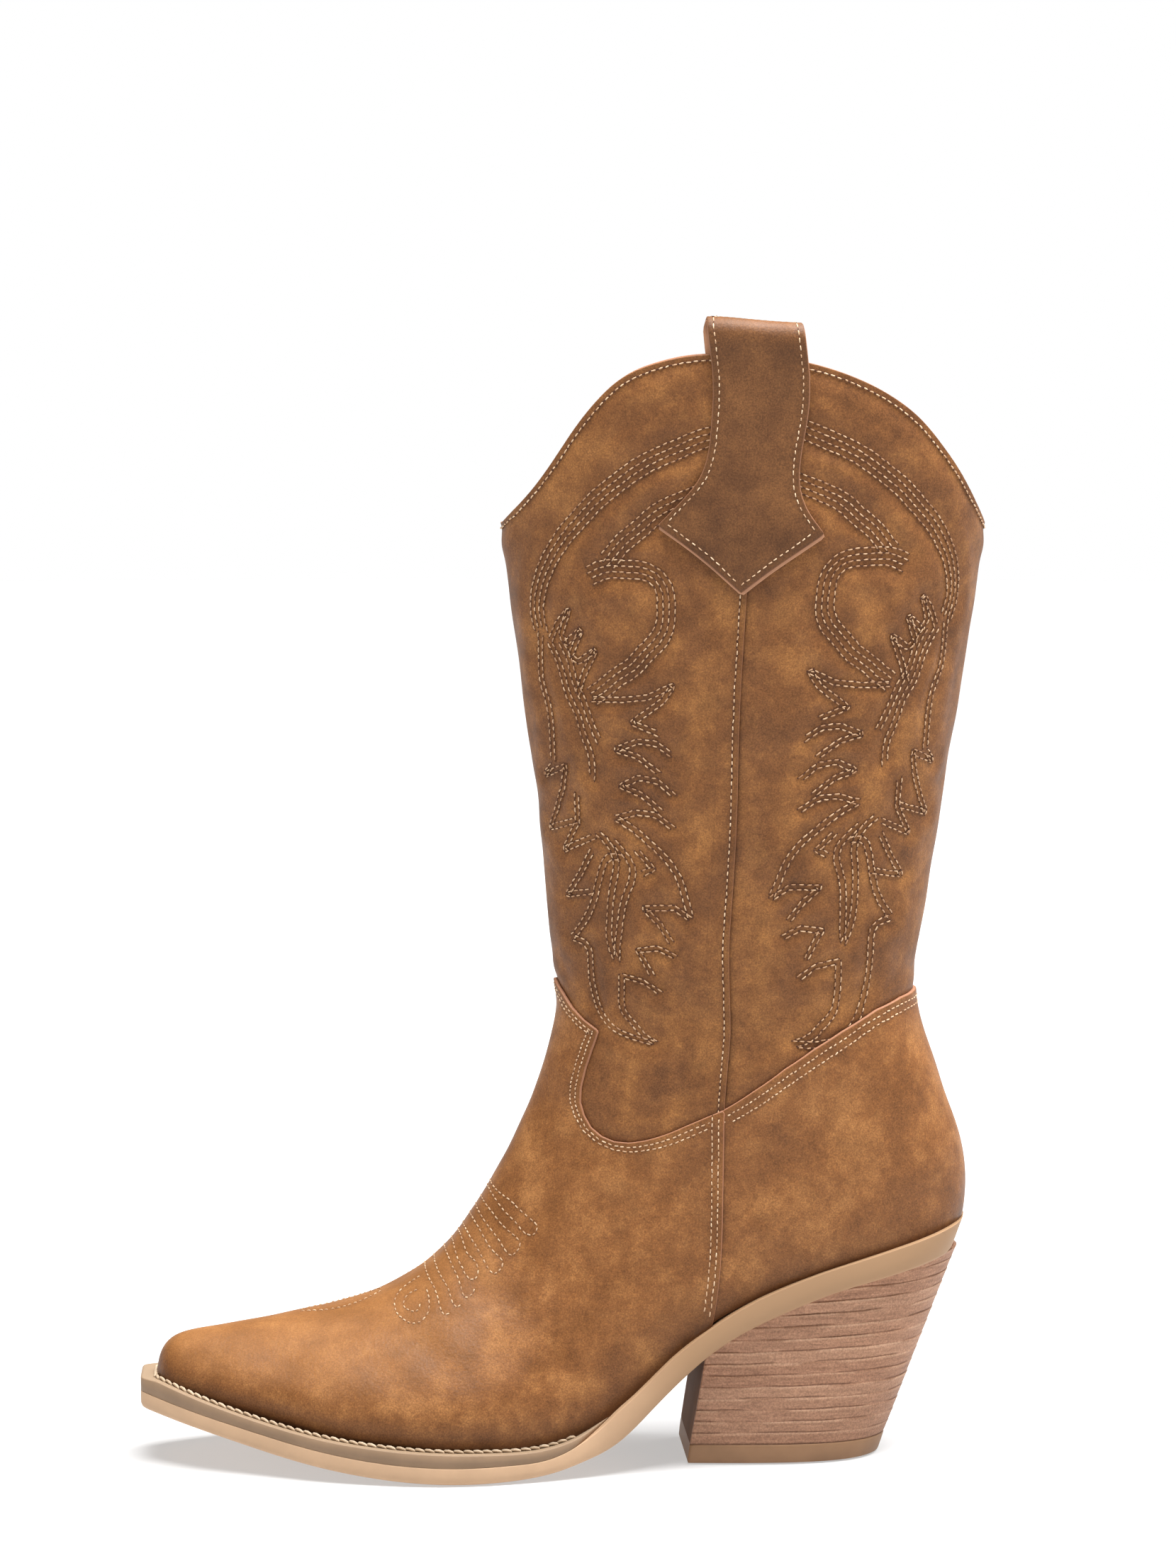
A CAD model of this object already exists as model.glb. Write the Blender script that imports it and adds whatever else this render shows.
import math
import bmesh
import bpy
import numpy as np
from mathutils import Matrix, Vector
from mathutils.geometry import delaunay_2d_cdt
from mathutils.kdtree import KDTree


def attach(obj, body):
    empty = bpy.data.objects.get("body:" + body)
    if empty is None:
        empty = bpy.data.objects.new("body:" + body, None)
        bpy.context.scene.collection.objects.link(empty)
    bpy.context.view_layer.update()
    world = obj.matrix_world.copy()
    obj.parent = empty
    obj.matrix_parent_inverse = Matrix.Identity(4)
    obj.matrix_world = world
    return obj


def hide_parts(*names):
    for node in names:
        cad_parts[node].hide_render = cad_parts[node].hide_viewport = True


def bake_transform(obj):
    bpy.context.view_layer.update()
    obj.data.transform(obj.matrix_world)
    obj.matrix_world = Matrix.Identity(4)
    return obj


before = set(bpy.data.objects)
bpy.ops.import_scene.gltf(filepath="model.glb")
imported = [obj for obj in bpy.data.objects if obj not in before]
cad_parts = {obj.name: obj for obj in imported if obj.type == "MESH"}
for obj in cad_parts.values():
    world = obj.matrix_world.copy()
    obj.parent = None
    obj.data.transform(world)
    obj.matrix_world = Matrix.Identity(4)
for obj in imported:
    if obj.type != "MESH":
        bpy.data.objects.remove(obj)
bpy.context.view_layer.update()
rng = np.random.default_rng(7)

# ---------------------------------------------------------------- boot surface (mm)
FOXING = 1.3  # thickness of vamp and counter over the bare surface
# Sections from the top of the shaft to the toe: front x, z, back x, z, centre y at the front
# and at the back, half width, how much wider the back is, exponent of the side's curve (less
# is squarer), share of FOXING that STATIONS includes
STATIONS = np.array([
    (-31.9, 400.0, 150.2, 400.0, 8.5, -0.5, 46.0, 0.10, 1.00, 0.0),
    (-19.8, 307.0, 138.4, 307.0, 8.0, 0.0, 45.0, 0.10, 1.00, 0.0),
    (-12.2, 250.0, 130.2, 250.0, 7.0, 0.5, 42.0, 0.10, 1.00, 0.0),
    (-6.2, 204.0, 122.8, 204.0, 6.5, 1.0, 38.0, 0.10, 1.00, 0.0),
    (-3.2, 172.0, 118.2, 172.0, 6.0, 1.5, 35.0, 0.10, 1.00, 0.0),
    (-1.4, 157.2, 116.6, 150.0, 6.0, 2.0, 34.2, 0.10, 1.00, 0.5),
    (-1.4, 148.5, 121.6, 133.5, 5.8, 2.5, 34.2, 0.10, 0.97, 1.0),
    (-3.6, 137.2, 131.4, 106.0, 5.5, 3.0, 34.0, 0.10, 0.95, 1.0),
    (-6.0, 128.2, 133.8, 84.0, 5.2, 3.5, 34.0, 0.12, 0.92, 1.0),
    (-8.4, 121.3, 126.0, 62.0, 5.0, 3.5, 33.8, 0.20, 0.90, 1.0),
    (-13.5, 109.7, 90.6, 46.0, 4.5, 2.5, 31.5, 0.25, 0.90, 1.0),
    (-20.8, 95.2, 49.6, 23.5, 4.0, -0.5, 30.0, 0.30, 0.88, 1.0),
    (-30.2, 79.8, 16.6, 2.0, 3.5, -2.0, 32.5, 0.35, 0.85, 1.0),
    (-43.0, 64.6, -20.0, -2.5, 3.0, -1.5, 39.0, 0.40, 0.80, 1.0),
    (-60.0, 54.4, -51.0, -0.5, 3.5, 0.2, 38.6, 0.40, 0.80, 1.0),
    (-79.4, 48.8, -79.4, 5.5, 4.0, 1.8, 32.4, 0.40, 0.80, 1.0),
    (-97.4, 45.2, -97.4, 11.0, 4.5, 3.0, 25.6, 0.40, 0.80, 1.0),
    (-112.4, 42.9, -112.4, 14.8, 5.0, 4.0, 19.7, 0.40, 0.80, 1.0),
    (-122.4, 40.9, -122.4, 17.4, 5.5, 5.0, 15.0, 0.40, 0.80, 1.0),
    (-128.4, 38.2, -128.4, 18.4, 5.8, 5.6, 11.5, 0.40, 0.82, 1.0),
    (-131.2, 34.0, -131.7, 18.8, 6.0, 6.0, 8.0, 0.35, 0.85, 1.0),
    (-132.3, 29.0, -133.0, 19.0, 6.0, 6.0, 4.0, 0.20, 0.95, 1.0),
])
SHAFT_TWIST = 0.07
# Heights (x, z): where upper meets sole, underside of the welt, tread and topline
FEATHER = np.array([
    (-150.0, 32.0), (-132.5, 27.1), (-104.0, 18.8), (-73.5, 12.8), (-43.2, 10.3),
    (-22.8, 9.7), (-9.2, 10.0), (-0.3, 11.8), (9.6, 16.1), (20.9, 24.2), (35.9, 38.4),
    (46.0, 46.6), (60.2, 54.7), (80.4, 63.2), (100.9, 69.7), (118.6, 74.3), (131.5, 78.0),
    (150.0, 83.0),
])
WELT_BASE = np.array([
    (-150.0, 25.6), (-129.5, 21.0), (-96.2, 13.0), (-66.1, 7.6), (-35.8, 5.6),
    (-16.8, 5.9), (-5.0, 7.2), (5.7, 12.0), (14.0, 18.3), (18.0, 22.2), (35.9, 38.4),
    (60.2, 54.7), (100.9, 69.7), (150.0, 83.0),
])
TREAD = np.array([
    (-150.0, 19.8), (-138.2, 17.4), (-115.4, 12.3), (-96.2, 7.5), (-81.1, 4.4),
    (-66.1, 2.1), (-50.8, 0.6), (-35.8, 0.0), (-16.8, 0.5), (-1.8, 2.7), (5.7, 5.1),
    (17.0, 10.5), (28.3, 20.8), (39.0, 31.1), (46.7, 37.6), (60.2, 46.0), (73.6, 52.1),
    (86.9, 57.3), (100.7, 61.2), (115.0, 64.2), (129.0, 66.7), (150.0, 70.5),
])
TOPLINE = np.array([
    (-20.0, 306.8), (-4.2, 324.5), (3.6, 335.9), (12.6, 347.3), (18.6, 352.9),
    (30.3, 358.5), (41.3, 361.0), (50.2, 361.6), (63.0, 361.2), (79.5, 359.0),
    (88.5, 356.5), (97.8, 352.9), (108.2, 347.2), (115.4, 341.5), (125.0, 330.1),
    (132.5, 318.4), (138.6, 306.8),
])
# Plan of the sole: x, outer y, inner y
PLAN = np.array([
    (-138.5, -5.0, 16.5), (-122.4, -18.4, 27.8), (-102.4, -28.3, 37.0),
    (-82.4, -37.6, 42.8), (-62.4, -44.0, 46.2), (-37.0, -47.5, 47.3), (-12.4, -43.6, 40.8),
    (7.5, -37.8, 33.6), (27.5, -33.0, 32.0), (50.0, -30.6, 33.0), (75.0, -29.6, 36.2),
    (100.0, -28.4, 36.0), (118.0, -22.8, 30.0), (129.0, -13.4, 20.6),
])
PLAN_BACK = (133.8, 3.6)
HALF_RING = 200  # points on each side of the sole's outline
LIFT = 6.3
WRAP = 1.6
HEEL_TOP = 88.0
LAYER = 3.85
# Heel: level, breast x, back x, half width, centre y; and its outline as shares of those
HEEL_LEVELS = [(0.0, 40.5, 105.2, 21.4, 1.4), (LIFT, 41.3, 107.4, 22.0, 1.6),
               (HEEL_TOP, 54.9, 139.0, 30.4, 4.2)]
HEEL_SHAPE = [(0.0, 0.97), (0.35, 1.03), (0.66, 0.97), (0.88, 0.68), (1.0, 0.0)]


def moments(t, v):
    """Second derivatives of the natural cubic spline through v at t."""
    n = len(t)
    h = np.diff(t)
    m = np.zeros((n, n))
    r = np.zeros((n,) + v.shape[1:])
    m[0, 0] = m[-1, -1] = 1.0
    for i in range(1, n - 1):
        m[i, i - 1:i + 2] = h[i - 1], 2 * (h[i - 1] + h[i]), h[i]
        r[i] = 6 * ((v[i + 1] - v[i]) / h[i] - (v[i] - v[i - 1]) / h[i - 1])
    return np.linalg.solve(m, r)


class Spline:
    """Natural cubic spline through rows of v at t."""

    def __init__(self, t, v):
        self.t = np.asarray(t, float)
        self.v = np.asarray(v, float)
        if self.v.ndim == 1:
            self.v = self.v[:, None]
        self.m = moments(self.t, self.v)

    def __call__(self, x):
        x = np.clip(np.asarray(x, float), self.t[0], self.t[-1])
        i = np.clip(np.searchsorted(self.t, x, side="right") - 1, 0, len(self.t) - 2)
        h = (self.t[i + 1] - self.t[i])[..., None]
        a = (self.t[i + 1] - x)[..., None] / h
        b = 1 - a
        out = a * self.v[i] + b * self.v[i + 1]
        out = out + ((a**3 - a) * self.m[i] + (b**3 - b) * self.m[i + 1]) * h * h / 6
        return out[..., 0] if out.shape[-1] == 1 else out


def lengths(p):
    """Running length along a chain of points."""
    return np.concatenate([[0], np.cumsum(np.linalg.norm(np.diff(p, axis=0), axis=1))])


def resample(points, step, smooth=True):
    """Points spaced by about step along a chain, smoothed by a spline or kept straight."""
    p = np.asarray(points, float)
    t = lengths(p)
    if smooth and len(p) > 2:
        p = Spline(t, p)(np.linspace(0, t[-1], max(8, int(t[-1] / step * 2))))
        t = lengths(p)
    n = max(2, int(round(t[-1] / step)) + 1)
    k = np.linspace(0, t[-1], n)
    return np.stack([np.interp(k, t, p[:, i]) for i in range(p.shape[1])], 1)


gaps = 0.5 * (np.hypot(*np.diff(STATIONS[:, 0:2], axis=0).T)
              + np.hypot(*np.diff(STATIONS[:, 2:4], axis=0).T))
KNOTS = np.concatenate([[0], np.cumsum(gaps)])
S_END = KNOTS[-1]
station = Spline(KNOTS, STATIONS)
feather = Spline(FEATHER[:, 0], FEATHER[:, 1])
welt_base = Spline(WELT_BASE[:, 0], WELT_BASE[:, 1])
tread = Spline(TREAD[:, 0], TREAD[:, 1])
topline = Spline(TOPLINE[:, 0], TOPLINE[:, 1])


def surf(s, psi, side, off=0.0):
    """Point at distance s, angle psi from front (0) to back (pi), on side -1 or +1."""
    fx, fz, bx, bz, yf, yb, half, skew, power, worn = np.moveaxis(station(s), -1, 0)
    span = np.hypot(bx - fx, bz - fz)
    cx, cz = (bx - fx) / span, (bz - fz) / span
    o = off - FOXING * np.clip(worn, 0, 1)
    fx, fz, bx, bz, half = fx - cx * o, fz - cz * o, bx + cx * o, bz + cz * o, half + o
    a = (1 - np.cos(psi)) / 2
    y = side * half * np.abs(np.sin(psi)) ** power * (1 - skew * np.cos(psi))
    return np.stack([fx + (bx - fx) * a, y + yf * (1 - a) + yb * a, fz + (bz - fz) * a], -1)


# Tables that turn arc length round a section into psi
S_GRID = np.linspace(0, S_END, 300)
PSI_GRID = np.linspace(0, math.pi, 301)
V_GRID = np.linspace(0, 1, 201)
GIRTH = {}
PSI_OF = {}
for side in (-1, 1):
    p = surf(S_GRID[:, None] + 0 * PSI_GRID, PSI_GRID + 0 * S_GRID[:, None], side)
    arc = np.linalg.norm(np.diff(p, axis=1), axis=2).cumsum(1)
    arc = np.concatenate([np.zeros((len(S_GRID), 1)), arc], 1)
    GIRTH[side] = arc[:, -1]
    PSI_OF[side] = np.array([np.interp(V_GRID, a / a[-1], PSI_GRID) for a in arc])


def girth(s, side):
    """Half girth at s on one side."""
    return np.interp(s, S_GRID, GIRTH[side])


def spot(sc, back=False):
    """Base point for (s, c): c is the arc from the front ridge or from the back line."""
    s, c = sc[:, 0], sc[:, 1]
    out = np.empty((len(sc), 3))
    for side in (-1, 1):
        m = (c < 0) if side < 0 else (c >= 0)
        if not m.any():
            continue
        v = np.abs(c[m]) / girth(s[m], side)
        if back:
            v = 1 - v
        v = np.clip(v, 0, 1) * (len(V_GRID) - 1)
        k = np.clip(s[m] / S_END, 0, 1) * (len(S_GRID) - 1)
        i = np.clip(k.astype(int), 0, len(S_GRID) - 2)
        j = np.clip(v.astype(int), 0, len(V_GRID) - 2)
        a, b = k - i, v - j
        t = PSI_OF[side]
        psi = ((1 - a) * ((1 - b) * t[i, j] + b * t[i, j + 1])
               + a * ((1 - b) * t[i + 1, j] + b * t[i + 1, j + 1]))
        out[m] = surf(s[m], psi, side)
    return out


def unit(v):
    """Rows of v scaled to length one."""
    return v / np.maximum(np.linalg.norm(v, axis=-1, keepdims=True), 1e-9)


def skin(sc, back=False):
    """Base point, outward normal and downward direction at (s, c)."""
    e = 0.5
    p = spot(sc, back)
    ds = spot(sc + [e, 0], back) - spot(sc - [e, 0], back)
    dc = spot(sc + [0, e], back) - spot(sc - [0, e], back)
    n = unit(np.cross(ds, dc))
    if back:
        n = -n
    return p, -n, unit(ds)


def front_skin(sc):
    """skin with arcs from the front ridge."""
    return skin(sc)


def back_skin(sc):
    """skin with arcs from the back line."""
    return skin(sc, True)


# ---------------------------------------------------------------- seams, as (s, arc)
SEAM = np.array([(0, 113.7), (60, 103.2), (117.7, 93.6), (141.3, 88.6), (174.2, 82.0),
                 (200.3, 77.1), (223.9, 72.4), (248.2, 68.6), (289.4, 69.8), (315.8, 76.4),
                 (336.2, 83.8), (351.6, 91.0), (357.0, 93.9), (372.0, 100.5)])
TONGUE = [(248.6, 0), (254.0, 6.6), (260.3, 12.0), (265.2, 17.4), (268.9, 23.3)]
SWEEP = [(268.9, 23.3), (279.0, 22.2), (288.5, 21.6), (299.4, 21.6), (307.2, 22.6),
         (313.0, 25.0), (317.6, 28.6), (319.4, 33.2), (318.7, 37.9), (315.8, 42.8),
         (311.2, 47.9), (305.4, 53.6), (299.0, 59.6), (293.6, 65.2), (289.4, 69.8)]
COUNTER_TOP = [(289.4, 98.5), (280.0, 84.8), (269.9, 69.2), (262.4, 55.9), (256.2, 43.6),
               (249.9, 29.4), (246.8, 17.5), (245.6, 7.0), (245.4, 0)]
UNDER_VAMP = [(299, 70.5), (312, 58), (325, 43), (328, 32), (322, 21), (310, 13.5),
              (290, 12.5), (277, 12), (264, 4), (261, 0)]
seam_arc = Spline(SEAM[:, 0], SEAM[:, 1])


def feather_arc(s, side):
    """Arc from the front ridge to the feather edge on the section at s."""
    psi = np.linspace(0.02, math.pi, 500)
    p = surf(np.full(500, s), psi, side, FOXING)
    f = p[:, 2] - feather(p[:, 0])
    below = np.nonzero(f < 0)[0]
    if len(below) == 0:
        return None
    i = max(1, below[0])
    t = f[i - 1] / (f[i - 1] - f[i])
    q = surf(np.full(501, s), np.linspace(0, psi[i - 1] + t * (psi[i] - psi[i - 1]), 501), side)
    return lengths(q)[-1]


def feather_curve(side, step=1.2):
    """(s, arc) of the feather edge from the back of the heel to the toe."""
    rows = []
    for s in np.arange(290, S_END, step):
        a = feather_arc(s, side)
        if a is not None:
            rows.append((s, a))
    rows.append((S_END, feather_arc(S_END - 0.01, side)))
    return np.array(rows)


FOOT_EDGE = {side: feather_curve(side) for side in (-1, 1)}


def top_arc(side, back=False):
    """(s, arc) of the topline between the front or back line and the side seam."""
    rows = []
    for psi in np.linspace(0, math.pi, 240):
        lo, hi = 20.0, 120.0
        for _ in range(30):
            mid = 0.5 * (lo + hi)
            x, y, z = surf(np.array([mid]), np.array([psi]), side)[0]
            want = topline(x - SHAFT_TWIST * y)
            lo, hi = (mid, hi) if z > want else (lo, mid)
        q = surf(np.full(300, lo), np.linspace(0, psi, 300), side)
        rows.append((lo, lengths(q)[-1]))
    rows = np.array(rows)
    edge = seam_arc(rows[:, 0])
    if back:
        rows[:, 1] = girth(rows[:, 0], side) - rows[:, 1]
        keep = rows[:, 1] <= girth(rows[:, 0], side) - edge + 7
        return rows[keep][::-1]
    return rows[rows[:, 1] <= edge]


# ---------------------------------------------------------------- mesh helpers
def build(name, verts, faces, material, body="boot", smooth=True, attributes=None):
    """Mesh object from millimetre vertices, riding on a body."""
    mesh = bpy.data.meshes.new(name)
    mesh.from_pydata((np.asarray(verts) * 0.001).tolist(), [], [list(map(int, f)) for f in faces])
    mesh.validate()
    mesh.polygons.foreach_set("use_smooth", [smooth] * len(mesh.polygons))
    for key, values in (attributes or {}).items():
        a = mesh.attributes.new(key, "FLOAT", "POINT")
        a.data.foreach_set("value", np.asarray(values, float))
    mesh.materials.append(material)
    obj = bpy.data.objects.new(name, mesh)
    bpy.context.collection.objects.link(obj)
    if body:
        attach(obj, body)
    return obj


def strip(a, b, closed=True):
    """Quads between two equal rings of vertex numbers."""
    n = len(a)
    m = n if closed else n - 1
    return [(a[i], a[(i + 1) % n], b[(i + 1) % n], b[i]) for i in range(m)]


def inside(points, outline):
    """Which points lie inside a closed outline."""
    x, y = points.T
    hit = np.zeros(len(points), bool)
    q = np.roll(outline, -1, axis=0)
    for (x0, y0), (x1, y1) in zip(outline, q):
        if y0 == y1:
            continue
        m = (y0 > y) != (y1 > y)
        hit ^= m & (x < (x1 - x0) * (y - y0) / (y1 - y0) + x0)
    return hit


def near(points, targets, reach):
    """Distance from each point to the nearest target, capped at reach."""
    tree = KDTree(len(targets))
    for i, t in enumerate(targets):
        tree.insert((t[0], t[1], t[2] if len(t) > 2 else 0.0), i)
    tree.balance()
    out = np.full(len(points), reach)
    for i, p in enumerate(points):
        d = tree.find((p[0], p[1], p[2] if len(p) > 2 else 0.0))[2]
        if d < reach:
            out[i] = d
    return out


def smoothstep(x):
    """Eased step from 0 to 1."""
    x = np.clip(x, 0, 1)
    return x * x * (3 - 2 * x)


# Small waves all over and single creases: centre, direction, reach, width, depth
waves = [(rng.normal(size=3) / rng.uniform(14, 46), rng.uniform(0, 6.3), rng.uniform(0.5, 1))
         for _ in range(14)]
folds = [((66, -27, 141), (0.86, -0.1, 0.5), 26, 7, 0.8), ((84, -24, 152), (0.9, 0, 0.43), 22, 6, 0.6),
         ((30, -20, 146), (0.95, 0, 0.2), 22, 9, 0.5), ((66, 35, 141), (0.86, 0.1, 0.5), 26, 7, 0.8),
         ((-30, -22, 60), (0.5, 0.2, -0.8), 22, 7, 0.35), ((-44, -30, 40), (0.45, 0, -0.9), 18, 6, 0.3)]


def relief(p):
    """Soft unevenness of the leather at millimetre points."""
    h = sum(a * np.sin(p @ k * 2 * math.pi / 2.2 + f) for k, f, a in waves) * 0.10
    for centre, along, reach, wide, deep in folds:
        d = p - np.array(centre)
        a = unit(np.array(along, float)[None])[0]
        t = d @ a
        r = np.linalg.norm(d - t[:, None] * a, axis=1)
        h = h - deep * np.exp(-((t / reach) ** 2) - (r / wide) ** 2)
    return h


stitch_spots = []
FAR_FROM_STITCH = 14.0


def patch(name, outline, place, top, bottom, material, step=1.0, flare=0.35,
          raised=None, rough=True, body="boot", raw=0.0, groove=0.15, quilt=0.0,
          burnt=()):
    """Leather sheet over an outline in (s, c), with thickness and a turned rim."""
    outline = resample(np.concatenate([outline, outline[:1]]), step, False)[:-1]
    lo, hi = outline.min(0), outline.max(0)
    gx = np.arange(lo[0], hi[0], step)
    gy = np.arange(lo[1], hi[1], step * 1.1)
    grid = np.stack(np.meshgrid(gx, gy, indexing="ij"), -1)
    grid[:, 1::2, 0] += 0.5 * step
    grid = grid.reshape(-1, 2)
    grid = grid[inside(grid, outline)]
    grid = grid[near(grid, outline, 3.0) > 0.62 * step]
    pts = np.concatenate([outline, grid])
    n = len(outline)
    edges = [(i, (i + 1) % n) for i in range(n)]
    verts, _, tris, orig, _, _ = delaunay_2d_cdt([tuple(p) for p in pts], edges, [], 1, 1e-4)
    pts = np.array([tuple(v) for v in verts])
    tris = np.array([f for f in tris if len(f) == 3])
    first = {}
    for i, o in enumerate(orig):
        for k in o:
            first[k] = i
    ring = [first[i] for i in range(n)]
    p, nrm, _ = place(pts)
    h = np.full(len(pts), float(top))
    low = np.full(len(pts), float(bottom))
    if raised is not None:
        up, under = raised(pts)
        h += up
        low += under
    if rough:
        h += relief(p)
    gap = np.full(len(pts), FAR_FROM_STITCH)
    if groove:
        gap = near(p + nrm * h[:, None], stitch_spots, FAR_FROM_STITCH)
    puff = np.exp(-((gap - 6.0) / 3.6) ** 2) - np.exp(-(gap / 2.6) ** 2)
    h = np.maximum(h - groove * np.exp(-(gap / 0.8) ** 2) + quilt * puff, low + 0.3)
    a, b, c = (p[tris[:, i]] for i in range(3))
    facing = np.einsum("ij,ij->i", np.cross(b - a, c - a), nrm[tris[:, 0]])
    if np.median(facing) < 0:
        tris = tris[:, ::-1]
    turn = outline - np.roll(outline, 1, axis=0) + np.roll(outline, -1, axis=0) - outline
    area = np.sum(outline[:, 0] * np.roll(outline[:, 1], -1) - outline[:, 1] * np.roll(outline[:, 0], -1))
    away = unit(np.stack([turn[:, 1], -turn[:, 0]], 1)) * (1 if area > 0 else -1)
    out3 = unit(place(outline + away * 0.5)[0] - place(outline - away * 0.5)[0])
    pr, nr, hr, lr = p[ring], nrm[ring], h[ring][:, None], low[ring][:, None]
    outer = p + nrm * h[:, None]
    inner = p + nrm * low[:, None]
    thick = hr - lr
    rings = [pr + out3 * flare * 0.55 + nr * (hr - 0.10 * np.minimum(thick, 1)),
             pr + out3 * flare * 0.9 + nr * (hr - 0.35 * np.minimum(thick, 1)),
             pr + out3 * flare + nr * (lr + 0.35 * thick),
             pr + out3 * flare * 0.9 + nr * (lr + 0.02)]
    m = len(pts)
    verts = np.concatenate([outer, inner] + rings)
    ids = [np.array(ring)] + [2 * m + k * n + np.arange(n) for k in range(4)] + [m + np.array(ring)]
    faces = tris.tolist() + (tris[:, ::-1] + m).tolist()
    quads = []
    for u, v in zip(ids, ids[1:]):
        quads += strip(list(u), list(v))
    q = quads[0]
    qn = np.cross(verts[q[1]] - verts[q[0]], verts[q[2]] - verts[q[1]])
    if np.dot(qn, out3[0] + nr[0]) < 0:
        quads = [f[::-1] for f in quads]
    faces += quads
    rim = near(pts, outline, 4.0)
    seamy = np.concatenate([np.exp(-(gap / 0.9) ** 2), np.zeros(m + 4 * n)])
    dark = np.zeros(m)
    for line, width, share in burnt:
        dark = np.maximum(dark, share * np.exp(-near(p, line, 6 * width) / width))
    burnish = np.concatenate([dark, np.zeros(m), np.tile(dark[ring], 4)])
    cut = np.concatenate([np.zeros(m), np.full(m, raw), np.repeat([0.35 * raw, raw, raw, raw], n)])
    edge = np.concatenate([np.exp(-rim / 1.2), np.zeros(m), np.ones(4 * n)])
    rub = np.concatenate([smoothstep((nrm[:, 2] - 0.3) / 0.5), np.zeros(m + 4 * n)])
    marks = {"seamy": seamy, "cut": cut, "edge": edge, "burnish": burnish, "rub": rub}
    return build(name, verts, faces, material, body, True, marks)


# ---------------------------------------------------------------- materials
def shader(name, rough=0.6, spec=0.4, colour=(0.5, 0.5, 0.5)):
    """New material with its node tree and main shader."""
    mat = bpy.data.materials.new(name)
    mat.use_nodes = True
    tree = mat.node_tree
    main = tree.nodes["Principled BSDF"]
    main.inputs["Roughness"].default_value = rough
    main.inputs["Specular IOR Level"].default_value = spec
    main.inputs["Base Color"].default_value = (*colour, 1)
    return mat, tree, main


def noise(tree, scale, detail=3.0, rough=0.55, stretch=None, kind="ShaderNodeTexNoise"):
    """Noise texture in the object's own coordinates, in cells per metre."""
    at = tree.nodes.new("ShaderNodeTexCoord")
    tex = tree.nodes.new(kind)
    tex.inputs["Scale"].default_value = scale
    if kind == "ShaderNodeTexNoise":
        tex.inputs["Detail"].default_value = detail
        tex.inputs["Roughness"].default_value = rough
    link = at.outputs["Object"]
    if stretch:
        move = tree.nodes.new("ShaderNodeMapping")
        move.inputs["Scale"].default_value = stretch
        tree.links.new(link, move.inputs["Vector"])
        link = move.outputs["Vector"]
    tree.links.new(link, tex.inputs["Vector"])
    return tex.outputs[0]


def ramp(tree, value, stops):
    """Colour ramp over a value."""
    node = tree.nodes.new("ShaderNodeValToRGB")
    ends = node.color_ramp.elements
    while len(ends) < len(stops):
        ends.new(0.5)
    for e, (at, colour) in zip(ends, stops):
        e.position = at
        e.color = (*colour, 1)
    tree.links.new(value, node.inputs["Fac"])
    return node.outputs["Color"]


def blend_in(tree, factor, a, b, mode="MIX"):
    """Mix of colour a with b (a socket or a colour) by a factor socket."""
    node = tree.nodes.new("ShaderNodeMix")
    node.data_type = "RGBA"
    node.blend_type = mode
    if isinstance(factor, float):
        node.inputs["Factor"].default_value = factor
    else:
        tree.links.new(factor, node.inputs["Factor"])
    tree.links.new(a, node.inputs[6])
    if isinstance(b, tuple):
        node.inputs[7].default_value = (*b, 1)
    else:
        tree.links.new(b, node.inputs[7])
    return node.outputs[2]


def attribute(tree, key):
    """Value of a named attribute of the mesh."""
    node = tree.nodes.new("ShaderNodeAttribute")
    node.attribute_name = key
    return node.outputs["Fac"]


def scaled(tree, value, by):
    """A value times a number."""
    node = tree.nodes.new("ShaderNodeMath")
    node.operation = "MULTIPLY"
    tree.links.new(value, node.inputs[0])
    node.inputs[1].default_value = by
    return node.outputs[0]


def bump(tree, main, value, depth, strength=1.0, after=None):
    """Fine surface texture; depth in millimetres."""
    node = tree.nodes.new("ShaderNodeBump")
    node.inputs["Strength"].default_value = strength
    node.inputs["Distance"].default_value = depth * 0.001
    tree.links.new(value, node.inputs["Height"])
    if after is not None:
        tree.links.new(after, node.inputs["Normal"])
    tree.links.new(node.outputs["Normal"], main.inputs["Normal"])
    return node.outputs["Normal"]


RAW = (0.42, 0.20, 0.115)


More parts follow.
